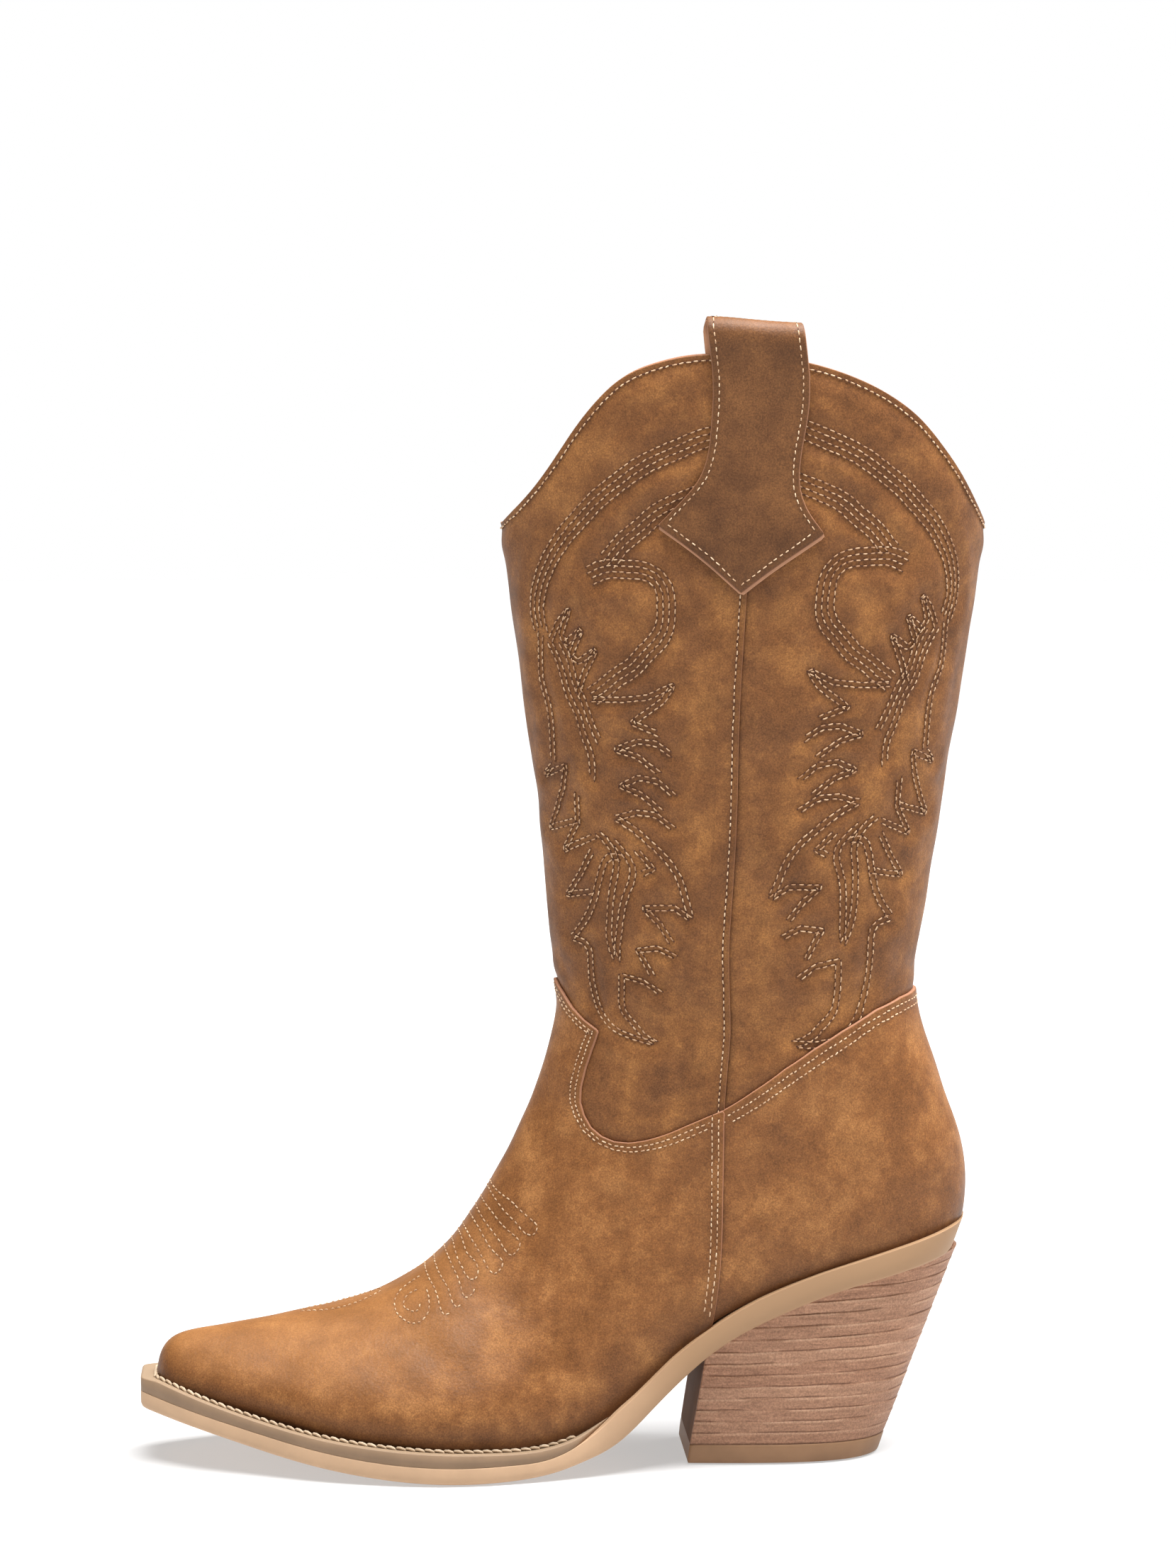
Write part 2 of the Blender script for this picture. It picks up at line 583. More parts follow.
def leather(name, dark, mid, light, rough):
    """Mottled, lightly waxed leather with darker stitched creases and a raw cut edge."""
    mat, tree, main = shader(name, rough, 0.24)
    burn = tuple(c * 0.45 for c in dark)
    colour = ramp(tree, noise(tree, 58, 5, 0.62), [(0.27, dark), (0.5, mid), (0.73, light)])
    streak = ramp(tree, noise(tree, 110, 5, 0.7), [(0.29, dark), (0.5, mid), (0.71, light)])
    colour = blend_in(tree, 0.45, colour, streak)
    speck = ramp(tree, noise(tree, 1900, 3, 0.7),
                 [(0.3, (0.5, 0.46, 0.42)), (0.5, (0.95, 0.95, 0.95)), (0.7, (1.6, 1.62, 1.6))])
    colour = blend_in(tree, 0.75, colour, speck, "MULTIPLY")
    colour = blend_in(tree, scaled(tree, attribute(tree, "rub"), 0.34), colour, light)
    colour = blend_in(tree, scaled(tree, attribute(tree, "burnish"), 0.88), colour, burn)
    colour = blend_in(tree, scaled(tree, attribute(tree, "seamy"), 0.24), colour, burn)
    colour = blend_in(tree, scaled(tree, attribute(tree, "edge"), 0.3), colour, dark)
    colour = blend_in(tree, attribute(tree, "cut"), colour, RAW)
    tree.links.new(colour, main.inputs["Base Color"])
    gloss = ramp(tree, noise(tree, 60, 3), [(0.3, (rough - 0.08,) * 3), (0.7, (rough + 0.1,) * 3)])
    tree.links.new(gloss, main.inputs["Roughness"])
    first = bump(tree, main, noise(tree, 1100, 0, 0.5, None, "ShaderNodeTexVoronoi"), 0.09, 0.55)
    bump(tree, main, noise(tree, 420, 4, 0.6), 0.25, 0.5, first)
    return mat


shaft_mat = leather("shaft_leather", (0.085, 0.032, 0.010), (0.180, 0.069, 0.020),
                    (0.36, 0.157, 0.045), 0.55)
foxing_mat = leather("foxing_leather", (0.106, 0.039, 0.011), (0.208, 0.080, 0.023),
                     (0.40, 0.180, 0.058), 0.5)
strap_mat = leather("strap_leather", (0.070, 0.027, 0.009), (0.124, 0.049, 0.016),
                    (0.21, 0.088, 0.028), 0.55)


def plain(name, colour, rough=0.6, grain=600, depth=0.05, vary=0.12, spec=0.35, cut=None):
    """Even material with a little grain and tone; cut is the colour of its cut face."""
    mat, tree, main = shader(name, rough, spec)
    low = tuple(c * (1 - vary) for c in colour)
    high = tuple(min(1, c * (1 + vary)) for c in colour)
    tone = ramp(tree, noise(tree, 90, 4), [(0.35, low), (0.65, high)])
    if cut:
        tone = blend_in(tree, attribute(tree, "cut"), tone, cut)
    tree.links.new(tone, main.inputs["Base Color"])
    bump(tree, main, noise(tree, grain, 3), depth, 0.5)
    return mat


lining_mat = plain("lining_leather", (0.66, 0.52, 0.36), 0.75)
sock_mat = plain("sock_leather", (0.60, 0.46, 0.30), 0.75)
thread_mat, tree, main = shader("thread", 0.55, 0.4)
tone = ramp(tree, attribute(tree, "tone"),
            [(0.0, (0.34, 0.175, 0.085)), (0.5, (0.52, 0.33, 0.19)), (1.0, (0.70, 0.51, 0.33))])
tree.links.new(tone, main.inputs["Base Color"])
hole_mat = plain("needle_hole", (0.088, 0.035, 0.017), 0.9)
sole_mat = plain("outsole", (0.51, 0.33, 0.20), 0.62, 500, 0.06, 0.05, cut=(0.33, 0.195, 0.102))
welt_mat = plain("welt", (0.25, 0.16, 0.095), 0.6, 500, 0.06, 0.08, cut=(0.31, 0.215, 0.135))
lift_mat = plain("top_lift", (0.25, 0.135, 0.068), 0.55, 500, 0.05, 0.08)
breast_mat = plain("heel_breast", (0.15, 0.07, 0.033), 0.7, 300, 0.05, 0.1, 0.06)

stack_mat, tree, main = shader("heel_stack", 0.6, 0.35)
band = noise(tree, 1, 7, 0.75, (90, 90, 900))
tone = ramp(tree, band,
            [(0.30, (0.22, 0.105, 0.058)), (0.48, (0.30, 0.15, 0.086)), (0.66, (0.40, 0.21, 0.125))])
tone = blend_in(tree, attribute(tree, "line"), tone, (0.58, 0.36, 0.23))
tone = blend_in(tree, attribute(tree, "dark"), tone, (0.12, 0.05, 0.027))
speck = ramp(tree, noise(tree, 1500, 3, 0.7),
             [(0.35, (0.72, 0.70, 0.68)), (0.5, (1, 1, 1)), (0.65, (1.35, 1.36, 1.36))])
tone = blend_in(tree, 0.8, tone, speck, "MULTIPLY")
tree.links.new(tone, main.inputs["Base Color"])
bump(tree, main, noise(tree, 1, 5, 0.7, (60, 60, 1500)), 0.10, 0.6)


# ---------------------------------------------------------------- stitching
threads = {}
ORNAMENT, HOLDING = (0.0, 0.65), (0.3, 1.0)  # how light the threads are, on a scale from 0 to 1


def sew(piece, place, points, height, side=1, rows=1, gap=1.9, pitch=2.5, size=(1.45, 0.23),
        smooth=True, shift=0.0, raised=None, bright=ORNAMENT):
    """Rows of stitches along an outline given for the inner side; side -1 mirrors it."""
    base = resample(points, 0.3, smooth)
    d = np.gradient(base, axis=0)
    across = unit(np.stack([-d[:, 1], d[:, 0]], 1))
    for k in range(rows):
        q = base + across * (shift + (k - 0.5 * (rows - 1)) * gap)
        t = lengths(q)
        starts = np.arange(0.3 + 0.9 * (k % 2), t[-1] - size[0], pitch)
        if len(starts) == 0:
            continue
        starts = starts + rng.uniform(-0.12, 0.12, len(starts))
        ends = starts + size[0] * rng.uniform(0.88, 1.1, len(starts))
        sides = []
        for at in (starts, ends):
            sc = np.stack([np.interp(at, t, q[:, 0]), side * np.interp(at, t, q[:, 1])], 1)
            sc = sc + rng.normal(0, 0.07, sc.shape)
            p, n, _ = place(sc)
            h = height + relief(p)
            if raised is not None:
                h = h + raised(sc)[0]
            sides.append((p + n * h[:, None], n))
        (a, n), (b, _) = sides
        stitch_spots.extend(0.5 * (a + b))
        threads.setdefault(piece, []).append((a, b, n, size[1], bright))


def capsule_parts(a, b, n, radius):
    """Vertices and faces of raised stitches from a to b."""
    along = b - a
    long = np.linalg.norm(along, axis=1)[:, None]
    t = along / long
    w = unit(np.cross(n, t))
    n = np.cross(t, w)
    stops = [(-0.06, 0.35, -0.30), (0.10, 0.85, 0.05), (0.5, 1.0, 0.30), (0.90, 0.85, 0.05),
             (1.06, 0.35, -0.30)]
    sides = 6
    verts = []
    for u, r, h in stops:
        centre = a + along * u + n * (h * 0.55)
        for k in range(sides):
            x = 2 * math.pi * (k + 0.5) / sides
            verts.append(centre + (w * math.cos(x) + n * math.sin(x)) * radius * r)
    verts = np.stack(verts, 1)
    m = len(stops)
    unit_faces = []
    for i in range(m - 1):
        unit_faces += strip(list(range(i * sides, (i + 1) * sides)),
                            list(range((i + 1) * sides, (i + 2) * sides)))
    unit_faces = [f[::-1] for f in unit_faces]
    quads = np.array(unit_faces)
    caps = [list(range(sides)), list(range(m * sides - 1, (m - 1) * sides - 1, -1))]
    return verts, quads, caps


def make_threads():
    """One thread piece and one needle-hole piece for each sewn piece."""
    for piece, groups in threads.items():
        verts, faces, tones, start = [], [], [], 0
        hv, hf, hs = [], [], 0
        for a, b, n, radius, bright in groups:
            v, quads, caps = capsule_parts(a - n * 0.12, b - n * 0.12, n, radius)
            c, k, _ = v.shape
            tone = rng.uniform(*bright, c)
            for i in range(c):
                faces += (quads + start).tolist()
                faces += [[x + start for x in f] for f in caps]
                start += k
            verts.append(v.reshape(-1, 3))
            tones.append(np.repeat(tone, k))
            w = unit(np.cross(n, b - a))
            t = np.cross(w, n)
            for end, sign in ((a, -1), (b, 1)):
                at = end + t * sign * 0.30
                ring = [at + t * 0.44 * math.cos(x) + w * 0.28 * math.sin(x) - n * 0.3
                        for x in np.arange(8) * math.pi / 4]
                v = np.stack(ring + [at + n * 0.06], 1)
                for i in range(len(at)):
                    hf += [(hs + j, hs + (j + 1) % 8, hs + 8) for j in range(8)]
                    hs += 9
                hv.append(v.reshape(-1, 3))
        obj = build(piece + "_stitching", np.concatenate(verts), faces, thread_mat, None, True,
                    {"tone": np.concatenate(tones)})
        holes = build(piece + "_needle_holes", np.concatenate(hv), hf, hole_mat, None)
        for o in (obj, holes):
            if "pull_strap" in piece:
                blend_strap(o)
            else:
                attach(o, "boot")


def blend_strap(obj):
    """The strap bends along the line where its free loop leaves the topline (metres)."""
    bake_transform(obj)


# Quarter pattern of the shaft: rows, smooth or pointed, (s, distance from the side seam)
PATTERN = [
    (4, 's', [(64, 3), (65, 12), (68, 19.5), (71, 26.5), (75, 34), (80, 41), (85.5, 48),
              (91, 53.5), (96.5, 59), (102.5, 63.5), (108.5, 67), (115.5, 69.5), (122, 70), (129, 68)]),
    (4, 's', [(81.5, 8.5), (83.5, 14), (86.5, 21.5), (90, 28), (94.5, 33), (98.5, 38),
              (102.5, 41.5), (106, 44.5)]),
    (4, 's', [(110, 50), (107.5, 43.5), (107.5, 36.5), (108, 30.5), (110.5, 26), (115, 23.5),
              (120, 23), (125, 23), (130, 25), (134.5, 29), (139, 33), (142.5, 38), (146.5, 43),
              (149.5, 47.5)]),
    (2, 's', [(129, 68.5), (137.5, 68.5), (146, 67.5), (151.5, 65), (157.5, 63.5), (166, 63),
              (172.5, 63)]),
    (2, 'p', [(131.5, 64), (125.5, 61), (121, 57), (129, 59.5), (132, 57.5), (127.5, 52),
              (136, 55.5), (138, 52.5), (134, 46.5), (142.5, 50.5), (150, 53)]),
    (2, 's', [(131.5, 64.5), (138.5, 60), (144, 58), (150, 55.5), (155.5, 52), (161.5, 50),
              (167.5, 47.5), (172.5, 46.5), (177, 46.5)]),
    (2, 's', [(131.5, 59.5), (138.5, 55.5), (144, 54), (150, 50.5), (155.5, 48), (165, 43.5)]),
    (2, 'p', [(150, 47.5), (150, 36.5), (149, 27.5), (145, 19.5), (150, 22.5), (157.5, 32.5), (161, 23)]),
    (2, 'p', [(174, 23), (168.5, 30.5), (166.5, 38), (163.5, 30.5), (164, 24.5), (168, 18.5)]),
    (2, 'p', [(186.5, 22), (181, 29), (178.5, 36), (175.5, 30), (176.5, 23.5), (181.5, 17.5)]),
    (2, 'p', [(192, 17.5), (187.5, 24), (187, 30.5), (189, 37.5)]),
    (2, 's', [(189, 37.5), (192.5, 31), (197.5, 24.5), (203, 18.5), (209, 14.5), (214.5, 12.5), (221.5, 10)]),
    (2, 'p', [(221.5, 10), (217.5, 16), (218, 26), (223, 20.5), (229.5, 16)]),
    (2, 'p', [(234.5, 14.5), (231.5, 20.5), (232.5, 27.5), (237, 25), (242, 22.5)]),
    (2, 'p', [(248, 20), (244, 26), (242.5, 33.5)]),
    (2, 's', [(242.5, 33.5), (250.5, 34), (257, 33.5), (262.5, 29.5), (266.5, 26), (269, 21)]),
    (2, 'p', [(173, 63.5), (176.5, 67.5), (173, 57.5), (180, 58.5), (188, 62), (194, 65.5), (190.5, 52)]),
    (2, 'p', [(181.5, 52.5), (191, 52), (200.5, 57.5), (195.5, 45.5)]),
    (2, 'p', [(200, 46), (207.5, 50), (215, 55.5), (213, 44)]),
    (2, 's', [(202, 34.5), (202, 39.5), (206.5, 42), (213, 43.5), (220.5, 46), (229.5, 52.5)]),
    (2, 's', [(229.5, 52.5), (232, 46), (239.5, 45), (250, 44.5), (259, 42), (265.5, 37), (268, 31),
              (269, 21)]),
    (2, 's', [(194, 44.5), (197.5, 40), (202.5, 37), (211, 37.5), (221.5, 38), (230, 37.5), (237, 35)]),
    (2, 's', [(196, 39), (200, 34.5), (205, 31), (213.5, 32.5), (222, 34), (230, 34.5), (237, 35)]),
    (2, 'p', [(199, 30), (205, 24), (207.5, 29)]),
]
# Loops on the instep and a leaf near the toe, (s, arc from the ridge)
INSTEP = [
    [(378.4, 0), (378.1, 9.1), (375.9, 16), (374.5, 24.2), (374.1, 29), (376.6, 29.7), (379.9, 27.7),
     (380.6, 22.6), (381.6, 15.9), (381.5, 6), (381.5, 0)],
    [(388, 0), (387, 14.3), (385.9, 20.8), (384.9, 27.9), (388.1, 28.4), (390.9, 27.9), (392, 21.6),
     (392.7, 14.4), (392.6, 0)],
    [(398, 0), (397.4, 14.7), (397, 21.7), (396, 27.6), (399.5, 28.4), (401.7, 27.7), (402.8, 21.8),
     (403.1, 15.5), (404, 0)],
    [(408, 0), (407.8, 10), (408.5, 14.8), (406.7, 19.7), (408.8, 24.2), (411.7, 24), (413.6, 18),
     (413.8, 12.2), (412.8, 7.6), (413, 0)],
    [(418, 0), (417.4, 16.4), (417.4, 22.4), (417.1, 28.2), (414.2, 28.2), (411, 26.2)],
    [(424.6, 0), (424.2, 15.5), (423.1, 22.1), (422.4, 29), (418.1, 28.8)],
    [(430, 0), (429.6, 12.7), (428.5, 20.9), (427.4, 29.5), (425.3, 29.5)],
    [(433.2, 8), (439.2, 8.1), (445, 11), (446.7, 18.1), (444.6, 22.8), (439.2, 27.1), (435.3, 26.2),
     (432.4, 21.1), (432.1, 16)],
    [(436, 13.6), (441.4, 14.1), (443.2, 17.2), (441.4, 20.6), (438.2, 22.4), (435.7, 18.4)],
    [(484, 1.2), (475.4, 5), (466.8, 5.7), (460.3, 5), (450, 1.6)],
]
# Pull strap: left edge, spade and right edge (s, arc)
STRAP_LEFT, STRAP_RIGHT = 93.4, 122.7
SPADE_LEFT = [(44, 93.3), (52, 92.6), (60.8, 91.0), (70.1, 88.7), (78.0, 85.0), (84.5, 79.2),
              (93.0, 69.9)]
SPADE_TIP = [(93.0, 69.9), (98.0, 76.2), (104.5, 83.6), (114.1, 92.9), (107.0, 103.0),
             (101.0, 112.4), (95.5, 121.0)]
SPADE_RIGHT = [(95.5, 121.0), (88.7, 117.0), (81.2, 115.3), (76.0, 115.7), (70.1, 117.0),
               (60.8, 119.6), (52, 121.6), (44, 122.6)]
# Path of the strap over the topline: path length, s, distance out of the shaft's face
STRAP_PATH = Spline([-46, -30, -14, -9, -5.5, -2.6, 0, 2.6, 5.5, 9, 14, 22, 34, 50, 100],
                    [(73, -3.5), (57, -3.5), (41, -3.6), (36, -4.0), (32.4, -4.5), (29.2, -3.7),
                     (27.7, -1.1), (29.2, 1.7), (32.2, 3.0), (35.9, 3.0), (41, 2.5), (49, 2.2),
                     (61, 2.1), (77, 2.1), (127, 2.1)])
STRAP_SHIFT = {-1: 0.0, 1: 5.0}


def strap_skin(sc):
    """Pull strap: (path length, arc) to a point, its outward direction and path direction."""
    q, c = sc[:, 0], sc[:, 1]
    side = np.sign(c)
    arc = np.abs(c)
    at = STRAP_PATH(q)
    ahead = unit(STRAP_PATH(q + 0.3) - STRAP_PATH(q - 0.3))
    tilt = 0.07 * (arc - 108) * smoothstep((45 - q) / 20)
    skew = 2.2 * smoothstep(-(q - 2) / 8)
    shift = np.where(side < 0, STRAP_SHIFT[-1], STRAP_SHIFT[1])
    p, n, down = skin(np.stack([at[:, 0] + tilt, side * (arc + shift - skew)], 1))
    pos = p + n * at[:, 1:2]
    out = n * ahead[:, :1] - down * ahead[:, 1:2]
    return pos, unit(out), unit(n * ahead[:, 1:2] + down * ahead[:, :1])


def strap_s(points):
    """Points from (s, arc) to (path length, arc)."""
    q = np.linspace(0, 100, 800)
    s = STRAP_PATH(q)[:, 0]
    return [(np.interp(a, s, q), b) for a, b in points]


def spade(sides=0.0, tip=0.0):
    """Outline of the strap's outer leg, its sides and pointed end moved outwards."""
    left = resample(SPADE_LEFT, 1.0) - [0, sides]
    right = resample(SPADE_RIGHT, 1.0) + [0, sides]
    low = np.array(SPADE_TIP) + [tip, 0]
    low[0, 1] -= sides
    low[-1, 1] += sides
    half = [resample(low[:4], 1.0)[1:], resample(low[3:], 1.0)[1:-1]]
    return strap_s(np.concatenate([left[:-1], low[:1]] + half + [low[-1:], right[1:]]))


def front_raise(sc):
    """The front panel rises over the rear one along the side seam, and over the vamp's lining."""
    past = np.abs(sc[:, 1]) - seam_arc(sc[:, 0])
    throat = smoothstep((sc[:, 0] - 256) / 6) * smoothstep((33 - np.abs(sc[:, 1])) / 5)
    return 1.05 * smoothstep(1 + past / 6.5) + 0.4 * throat, 1.2 * smoothstep(1 + (past + 1) / 7)


def vamp_raise(sc):
    """The vamp rises over the counter along the lower side seam."""
    past = np.abs(sc[:, 1]) - seam_arc(sc[:, 0])
    t = smoothstep(1 + past / 6.5) * smoothstep((sc[:, 0] - 286) / 8)
    return 1.15 * t, 1.25 * t


def add_rows():
    """All stitch rows of the upper."""
    for side in (-1, 1):
        for rows, kind, points in PATTERN:
            p = np.array(points, float)
            near_seam = np.stack([p[:, 0], seam_arc(p[:, 0]) - p[:, 1] - 2.4], 1)
            apart = 1.95 if kind == "s" else 1.65
            sew("shaft_front_panel", front_skin, near_seam, 0.0, side, rows, apart, smooth=kind == "s")
            s = p[:, 0] - 3.5 - 0.022 * (p[:, 0] - 70)
            d = p[:, 1] + 2.5 * (1 - smoothstep((s - 235) / 30))
            rear = np.stack([s, girth(s, side) - seam_arc(s) - d], 1)
            sew("shaft_rear_panel", back_skin, rear, 0.0, side, rows, apart, smooth=kind == "s")
        for points in INSTEP:
            sew("vamp", front_skin, points, FOXING, side, pitch=2.3, size=(1.35, 0.25),
                bright=(0.15, 0.8))
        s = np.linspace(108, 292, 90)
        sew("shaft_front_panel", front_skin, np.stack([s, seam_arc(s) - 1.7], 1), 0.0, side,
            pitch=2.3, size=(1.3, 0.22), raised=front_raise, bright=HOLDING)
        s = np.linspace(292, 358, 40)
        for inset in (1.4, 3.6):
            sew("vamp", front_skin, np.stack([s, seam_arc(s) - inset], 1), FOXING, side,
                pitch=2.3, raised=vamp_raise, bright=HOLDING)
        edge = np.array(TONGUE + SWEEP[1:])
        for inset in (1.5, 3.4):
            sew("vamp", front_skin, edge, FOXING, side, shift=-inset, smooth=False, pitch=2.3,
                bright=HOLDING)
            sew("counter", back_skin, COUNTER_TOP, FOXING, side, shift=inset, pitch=2.3,
                bright=HOLDING)
        for piece, place, back in (("shaft_front_panel", front_skin, False),
                                   ("shaft_rear_panel", back_skin, True)):
            sew(piece, place, top_arc(side, back), 0.0, side, shift=-1.6, pitch=2.4, bright=HOLDING)
        label = "lateral" if side < 0 else "medial"
        tip = strap_s([(92.4, 72.4), (97.1, 78.0), (103.2, 85.2), (112.2, 93.0), (105.4, 102.4),
                       (99.2, 111.8), (94.5, 118.6)])
        left = [(q, c + 1.6) for q, c in strap_s(resample(SPADE_LEFT, 3)[:-1])]
        right = [(q, c - 1.6) for q, c in strap_s(resample(SPADE_RIGHT, 3)[1:])]
        for chain in ([(-34, STRAP_LEFT + 1.6)] + left + tip[:1], tip[:4], tip[3:7],
                      tip[6:] + right + [(-34, STRAP_RIGHT - 1.6)]):
            sew(label + "_pull_strap", strap_skin, chain, 0.72, side, smooth=False, pitch=2.3,
                size=(1.35, 0.22), bright=HOLDING)


add_rows()


# ---------------------------------------------------------------- upper leather
def place_points(place, points):
    """Millimetre points of (s, c) places on the bare surface."""
    return place(np.asarray(points, float))[0]


def both_sides(place, points):
    """Millimetre points along a line on the outer side, then on the inner side."""
    line = resample(points, 0.7, False)
    return np.concatenate([place_points(place, line * [1, side]) for side in (-1, 1)])


def seam_points(start, end, count):
    """Places (s, arc) along the side seam."""
    return [(s, seam_arc(s)) for s in np.linspace(start, end, count)]


def upper():
    """Vamp, counter, shaft panels and pull straps."""
    step = 1.05
    vamp_line = both_sides(front_skin, TONGUE + SWEEP[1:])
    counter_line = both_sides(back_skin, COUNTER_TOP)
    strap_line = both_sides(strap_skin, spade())
    seam_line = both_sides(front_skin, seam_points(110, 292, 60))
    seam_low_line = both_sides(front_skin, seam_points(292, 358, 30))
    corner = {}
    for side in (-1, 1):
        edge = FOOT_EDGE[side]
        gap = edge[:, 1] - seam_arc(edge[:, 0])
        corner[side] = np.nonzero(gap < 0)[0][0]

    half = {}
    for side in (-1, 1):
        edge = FOOT_EDGE[side][corner[side]:]
        seam = seam_points(290, edge[0, 0], 40)[1:]
        down = np.array(TONGUE + SWEEP[1:] + seam + (edge + [0, 1.0]).tolist())
        half[side] = down * [1, side]
    outline = np.concatenate([half[1], half[-1][::-1][:-1]])
    foot = np.concatenate([FOOT_EDGE[side][corner[side]:] * [1, side] for side in (-1, 1)])
    obj = patch("upper_vamp", outline, front_skin, FOXING, 0.03, foxing_mat, step, 0.45,
                vamp_raise, raw=1.0,
                burnt=[(place_points(front_skin, foot), 4.2, 1.0),
                       (place_points(front_skin, foot), 11, 0.42)])
    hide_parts("vamp")

    low = []
    for side in (-1, 1):
        edge = FOOT_EDGE[side][:corner[side] + 8]
        w = girth(edge[:, 0], side) - edge[:, 1]
        keep = w > 0.2
        foot = np.stack([edge[:, 0], w], 1)[keep]
        s = np.linspace(300, foot[-1, 0], 30)
        lap = np.stack([s, girth(s, side) - seam_arc(s) + 6.5], 1)
        lap = lap[lap[:, 0] < foot[-1, 0]]
        foot = foot[foot[:, 1] < girth(foot[:, 0], side) - seam_arc(foot[:, 0]) + 6.5]
        low.append(foot * [1, side])
        top = np.array(COUNTER_TOP[::-1])
        half[side] = np.concatenate([top, lap, foot[::-1]]) * [1, side]
    outline = np.concatenate([half[1], half[-1][::-1][:-1]])
    obj = patch("upper_counter", outline, back_skin, FOXING, 0.03, foxing_mat, step, 0.45,
                raw=1.0,
                burnt=[(place_points(back_skin, np.concatenate(low)), 3.2, 1.0),
                       (seam_low_line, 0.7, 1.0)])
    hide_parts("counter")

    for side in (-1, 1):
        top = top_arc(side)
        seam = seam_points(top[-1, 0], 292, 90)[1:]
        half[side] = np.array(top.tolist() + seam + UNDER_VAMP) * [1, side]
    outline = np.concatenate([half[1], half[-1][::-1][1:-1]])
    obj = patch("upper_shaft_front", outline, front_skin, 0.0, -1.15, shaft_mat, step, 0.35,
                front_raise, raw=0.5, quilt=0.45,
                burnt=[(vamp_line, 0.8, 1.0), (strap_line, 0.8, 1.0)])
    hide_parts("shaft_front_panel")

    for side in (-1, 1):
        top = top_arc(side, True)
        s = np.linspace(top[-1, 0], 296, 90)[1:]
        seam = np.stack([s, girth(s, side) - seam_arc(s) + 7], 1)
        under = np.array(COUNTER_TOP[1:]) + [8, 0]
        half[side] = np.concatenate([top, seam, under]) * [1, side]
    outline = np.concatenate([half[1], half[-1][::-1][1:-1]])
    obj = patch("upper_shaft_rear", outline, back_skin, 0.0, -1.15, shaft_mat, step, 0.3,
                raw=0.35, quilt=0.45,
                burnt=[(counter_line, 0.8, 1.0), (strap_line, 0.8, 1.0), (seam_line, 0.7, 1.0)])
    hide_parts("shaft_rear_panel")

    for side, label in ((-1, "lateral"), (1, "medial")):
        ends = [(-46, STRAP_RIGHT), (-46, STRAP_LEFT)]
        outline = np.array(spade() + ends) * [1, side]
        obj = patch(label + "_pull_strap", outline, strap_skin, 0.72, -0.35, strap_mat, 1.0, 0.45,
                    body=None, raw=0.5)
        blend_strap(obj)
        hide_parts(label + "_pull_strap_outer", label + "_pull_strap_inner",
                    label + "_pull_loop")
        ends = [(-45, STRAP_RIGHT + 0.3), (-45, STRAP_LEFT - 0.3)]
        outline = np.array(spade(0.3, 1.2) + ends) * [1, side]
        obj = patch(label + "_pull_strap_backing", outline, strap_skin, -0.37, -0.95,
                    strap_back_mat, 1.6, 0.3, body=None, raw=0.0, groove=0)
        blend_strap(obj)


strap_back_mat = plain("strap_backing", (0.40, 0.20, 0.11), 0.7)
upper()
make_threads()


# ---------------------------------------------------------------- sole
def half_plan(side):
    """Plan outline from the middle of the toe to the back of the heel on one side."""
    column = PLAN[:, 1] if side < 0 else PLAN[:, 2]
    p = np.concatenate([np.stack([PLAN[:, 0], column], 1), [PLAN_BACK]])
    middle = 0.5 * (PLAN[0, 1] + PLAN[0, 2])
    corner = 16
    toe = np.stack([np.full(corner, PLAN[0, 0]),
                    np.linspace(middle + side * 0.4, p[0, 1], corner + 1)[:-1]], 1)
    chain = np.concatenate([toe, resample(p, 0.6)])
    near_corner = np.abs(np.arange(len(chain)) - corner) < 9
    for _ in range(14):
        soft = chain.copy()
        soft[1:-1] = (chain[:-2] + 2 * chain[1:-1] + chain[2:]) / 4
        chain = np.where(near_corner[:, None], soft, chain)
    t = lengths(chain)
    k = np.linspace(0, t[-1] - (0.8 if side > 0 else 0), HALF_RING)
    return np.stack([np.interp(k, t, chain[:, i]) for i in (0, 1)], 1)


OUTLINE = np.concatenate([half_plan(-1), half_plan(1)[::-1]])
turn = np.roll(OUTLINE, -1, axis=0) - np.roll(OUTLINE, 1, axis=0)
INWARD = unit(np.stack([-turn[:, 1], turn[:, 0]], 1))
if np.dot(INWARD[100], [0, 1]) < 0:
    INWARD = -INWARD


def ring_at(inset, level):
    """Ring of points moved inwards, with heights from a function of x; the back end leans."""
    p = OUTLINE + INWARD * inset
    z = level(p[:, 0])
    p[:, 0] -= 0.36 * (feather(p[:, 0]) - z) * smoothstep((p[:, 0] - 96) / 34)
    return np.column_stack([p, z])


def lathe(name, rings, material, attributes):
    """Skin over a stack of rings, closed at both ends by pairing opposite points."""
    n = len(rings[0])
    faces = []
    for k in range(len(rings) - 1):
        faces += strip(list(range(k * n, k * n + n)), list(range(k * n + n, k * n + 2 * n)))
    pair = [(i, i + 1, n - 2 - i, n - 1 - i) for i in range(n // 2 - 1)]
    last = (len(rings) - 1) * n
    faces += [f[::-1] for f in pair] + [tuple(x + last for x in f) for f in pair]
    obj = build(name, np.concatenate(rings), faces, material, "boot", True, attributes)
    tidy_normals(obj)
    return obj


def tidy_normals(obj):
    """Faces of a closed piece all point outwards."""
    mesh = bmesh.new()
    mesh.from_mesh(obj.data)
    bmesh.ops.remove_doubles(mesh, verts=mesh.verts, dist=1e-6)
    bmesh.ops.recalc_face_normals(mesh, faces=mesh.faces)
    mesh.to_mesh(obj.data)
    mesh.free()


def outsole_top(x):
    """Upper edge of the outsole at x."""
    return np.minimum(welt_base(x), feather(x) + 0.15) - 0.05


